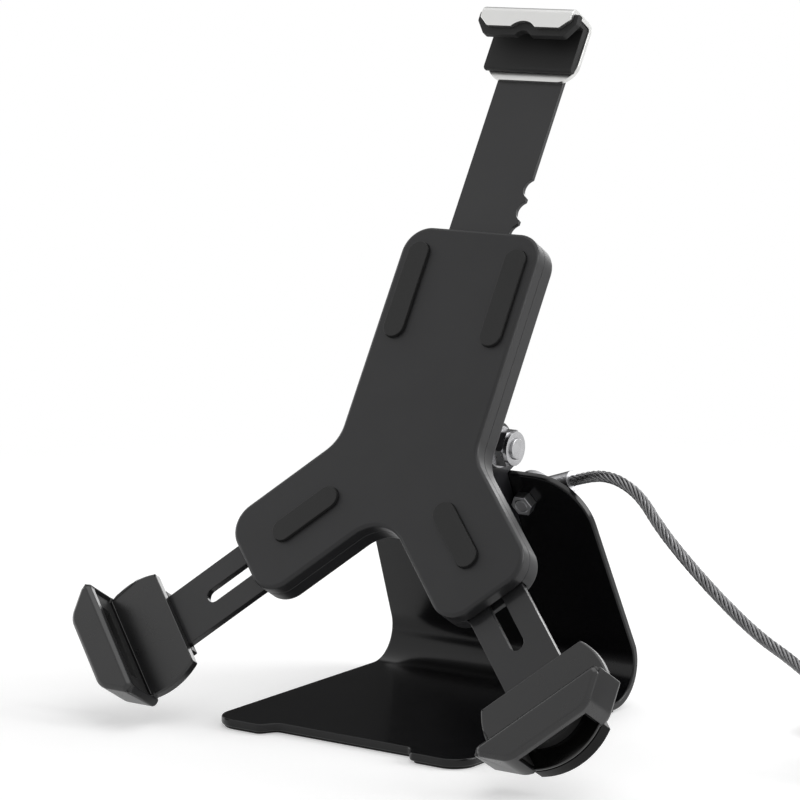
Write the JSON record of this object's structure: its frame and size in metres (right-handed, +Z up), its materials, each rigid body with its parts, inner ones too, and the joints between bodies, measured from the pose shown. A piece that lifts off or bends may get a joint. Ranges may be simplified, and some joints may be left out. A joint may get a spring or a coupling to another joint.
{
  "type": "tablet security stand",
  "caption": "Low counter stand with a bent steel foot, a tilting, turning head, sliding corner grips, a keyed top clamp and a steel security rope.",
  "frame": {"origin": "centre of the foot's width on the table, 63 mm behind the front of its lobes", "axes": "+X to the user's right, +Y to the back, +Z up"},
  "size_m": [0.3485, 0.171, 0.2649],
  "materials": {
    "black_paint": "gloss",
    "mat_rubber": "matte",
    "dark_steel": "satin",
    "screw_steel": "satin",
    "slip_plastic": "satin",
    "hub_plastic": "satin",
    "pad_rubber": "matte",
    "lock_chrome": "polished",
    "satin_silver": "satin",
    "grip_plastic": "satin",
    "cap_plastic": "satin",
    "rope_steel": "clear coated",
    "tie_nylon": "woven"
  },
  "bodies": {
    "stand": {"base_plate": "black_paint", "base_mat": "mat_rubber", "hinge_yoke": "dark_steel", "yoke_screws": "screw_steel", "hinge_bolt": "screw_steel", "hinge_nut": "screw_steel", "hinge_washers": "screw_steel", "rope_anchor": "satin_silver", "anchor_screw": "screw_steel", "anchor_nut": "screw_steel", "anchor_spacer": "screw_steel", "rope_run": "rope_steel", "rope_coil": "rope_steel", "rope_tail": "rope_steel", "rope_eye": "rope_steel", "rope_ferrule": "satin_silver", "coil_tie": "tie_nylon"},
    "tilt_carrier": {"tilt_knuckle": "dark_steel", "slip_ring": "slip_plastic", "turn_keeper": "screw_steel", "keeper_screws": "screw_steel"},
    "hub": {"front_cover": "hub_plastic", "rear_cover": "hub_plastic", "hub_pads": "pad_rubber", "cover_screws": "screw_steel", "arm_clamp_screws": "screw_steel", "arm_clamp_washers": "screw_steel", "lock_barrel": "lock_chrome"},
    "lock_core": {"lock_plug": "lock_chrome"},
    "top_arm": {"top_arm_bar": "dark_steel", "top_clamp_hook": "satin_silver", "top_clamp_trim": "pad_rubber", "top_clamp_rivets": "screw_steel"},
    "right_arm": {"arm_bar_right": "dark_steel", "grip_right": "grip_plastic", "grip_liner_right": "pad_rubber", "arm_end_cap_right": "cap_plastic", "grip_screws_right": "screw_steel"},
    "left_arm": {"arm_bar_left": "dark_steel", "grip_left": "grip_plastic", "grip_liner_left": "pad_rubber", "arm_end_cap_left": "cap_plastic", "grip_screws_left": "screw_steel"}
  },
  "joints": [
    {"name": "head_tilt", "type": "hinge", "parent": "stand", "child": "tilt_carrier", "pos_m": [0, 0.0165, 0.103], "axis": [1, 0, 0], "range_deg": [-40, 3]},
    {"name": "head_turn", "type": "hinge", "parent": "tilt_carrier", "child": "hub", "pos_m": [0, -0.01039, 0.11941], "axis": [0, -0.8536, 0.521], "range_deg": [-90, 90]},
    {"name": "lock_turn", "type": "hinge", "parent": "hub", "child": "lock_core", "pos_m": [0.0168, 0.01462, 0.16038], "axis": [0, -0.8536, 0.521], "range_deg": [0, 90]},
    {"name": "top_arm_slide", "type": "slide", "parent": "hub", "child": "top_arm", "axis": [0, 0.521, 0.8536], "range_m": [-0.0475, 0.0095]},
    {"name": "right_arm_slide", "type": "slide", "parent": "hub", "child": "right_arm", "axis": [0.7071, -0.3684, -0.6036], "range_m": [-0.035, 0.005]},
    {"name": "left_arm_slide", "type": "slide", "parent": "hub", "child": "left_arm", "axis": [-0.7071, -0.3684, -0.6036], "range_m": [-0.035, 0.005]}
  ]
}
